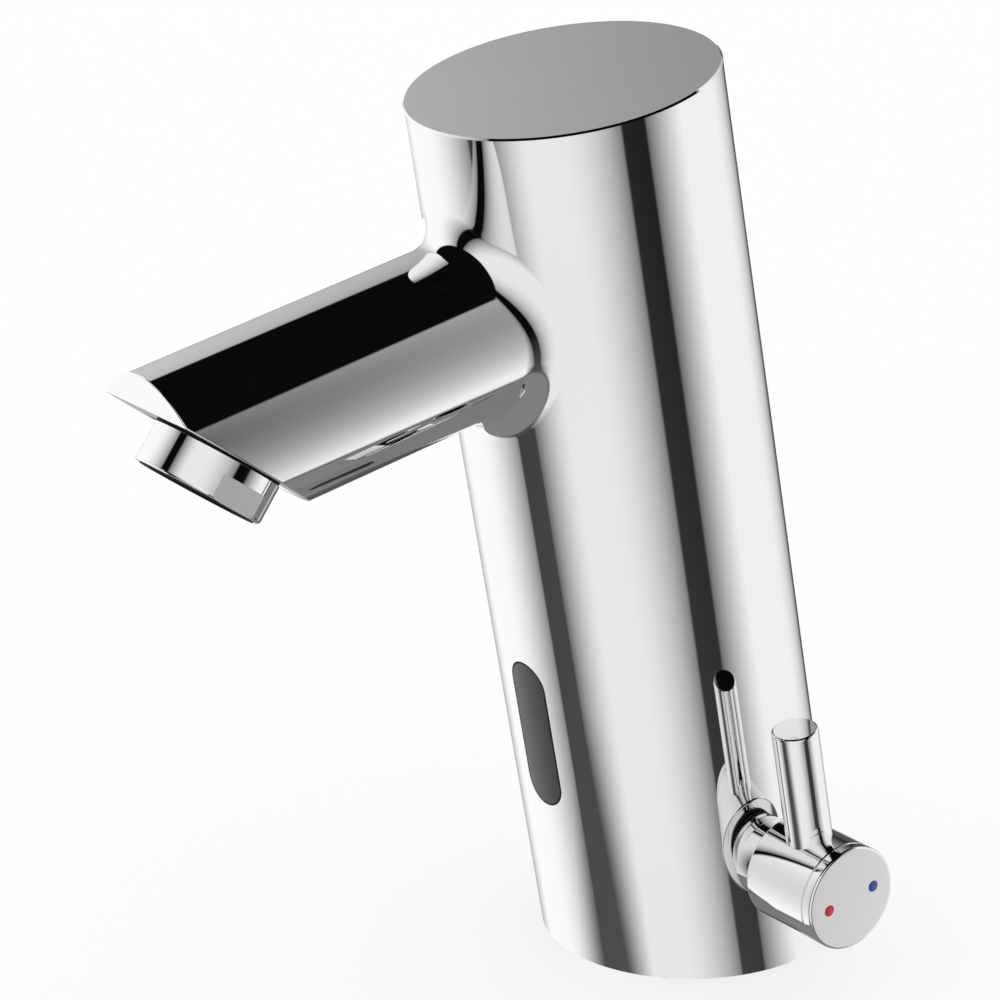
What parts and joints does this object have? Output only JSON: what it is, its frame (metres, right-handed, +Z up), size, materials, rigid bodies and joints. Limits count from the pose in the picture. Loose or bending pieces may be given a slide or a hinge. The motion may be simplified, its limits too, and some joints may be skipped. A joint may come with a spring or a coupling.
{
  "type": "deck-mounted sensor tap",
  "caption": "Chromed basin tap that leans forward, with an infrared window in its column, a slant-cut spout with aerator and a side lever for temperature.",
  "frame": {"origin": "mouth of the fixing stud's threaded hole, at the centre of the foot, on the basin's surface", "axes": "+Z up; the spout points along -Y, towards the user; the temperature lever stands on the +X side"},
  "size_m": [0.0798, 0.1477, 0.1758],
  "materials": {
    "chromed_casting": "polished chrome plate on cast brass",
    "chromed_lid": "polished chrome plate",
    "chromed_trim": "polished chrome plate on turned brass",
    "chromed_aerator": "polished chrome plate on turned brass",
    "window_plastic": "smooth infrared-clear plastic",
    "black_rubber": "moulded rubber",
    "hot_red": "glossy red inlay",
    "cold_blue": "glossy blue inlay",
    "bare_brass": "machined brass",
    "grey_plastic": "moulded plastic",
    "valve_plastic": "glass-filled plastic",
    "white_plastic": "moulded plastic",
    "alumina": "lapped ceramic",
    "stainless": "stainless steel",
    "coil_resin": "cast resin",
    "board_green": "solder mask",
    "clear_resin": "tinted resin",
    "battery_sleeve": "shrink sleeve"
  },
  "bodies": {
    "column": {"body_shell": "chromed_casting", "top_cap": "chromed_lid", "collar_nut": "chromed_trim", "aerator_housing": "chromed_aerator", "sensor_window": "window_plastic", "window_seal": "black_rubber", "cap_oring": "black_rubber", "base_gasket": "black_rubber", "diaphragm": "black_rubber", "aerator_seal": "black_rubber", "mixer_block": "bare_brass", "cartridge_bush": "bare_brass", "outlet_bush": "bare_brass", "cartridge_housing": "grey_plastic", "hot_valve_sleeve": "grey_plastic", "cold_valve_sleeve": "grey_plastic", "hot_valve_guide": "grey_plastic", "cold_valve_guide": "grey_plastic", "valve_body": "valve_plastic", "valve_cover": "valve_plastic", "sensor_case": "valve_plastic", "battery_tray": "valve_plastic", "aerator_insert": "white_plastic", "outlet_tube": "white_plastic", "fixed_disc": "alumina", "armature_tube": "stainless", "plunger_spring": "stainless", "hot_poppet_spring": "stainless", "cold_poppet_spring": "stainless", "coil_nut": "stainless", "valve_screws": "stainless", "sensor_screws": "stainless", "tray_screws": "stainless", "board_screws": "stainless", "cap_screw": "stainless", "block_screw": "stainless", "battery_contacts": "stainless", "coil": "coil_resin", "sensor_board": "board_green", "control_board": "board_green", "ir_emitter": "clear_resin", "ir_receiver": "clear_resin", "battery_pack": "battery_sleeve"},
    "lever": {"moving_disc": "alumina", "mixing_spindle": "bare_brass", "spindle_oring": "black_rubber", "knob": "chromed_trim", "knob_screw": "stainless", "knob_cap": "chromed_trim", "hot_mark": "hot_red", "cold_mark": "cold_blue", "lever_pin": "chromed_trim"},
    "solenoid_plunger": {"plunger": "stainless"},
    "hot_check_poppet": {"hot_poppet": "grey_plastic"},
    "cold_check_poppet": {"cold_poppet": "grey_plastic"}
  },
  "joints": [
    {"name": "temperature_lever", "type": "hinge", "parent": "column", "child": "lever", "pos_m": [0.0413, -0.00418, 0.02369], "axis": [1, 0, 0], "range_deg": [-45, 45]},
    {"name": "plunger_lift", "type": "slide", "parent": "column", "child": "solenoid_plunger", "axis": [0, -0.1736, 0.9848], "range_m": [0, 0.0012], "stiffness_N_per_m": 200, "springref_m": -0.002, "deforming": ["plunger_spring"]},
    {"name": "hot_poppet_lift", "type": "slide", "parent": "column", "child": "hot_check_poppet", "axis": [0, 0, 1], "range_m": [0, 0.0015], "stiffness_N_per_m": 30, "springref_m": -0.001, "deforming": ["hot_poppet_spring"]},
    {"name": "cold_poppet_lift", "type": "slide", "parent": "column", "child": "cold_check_poppet", "axis": [0, 0, 1], "range_m": [0, 0.0015], "stiffness_N_per_m": 30, "springref_m": -0.001, "deforming": ["cold_poppet_spring"]}
  ]
}
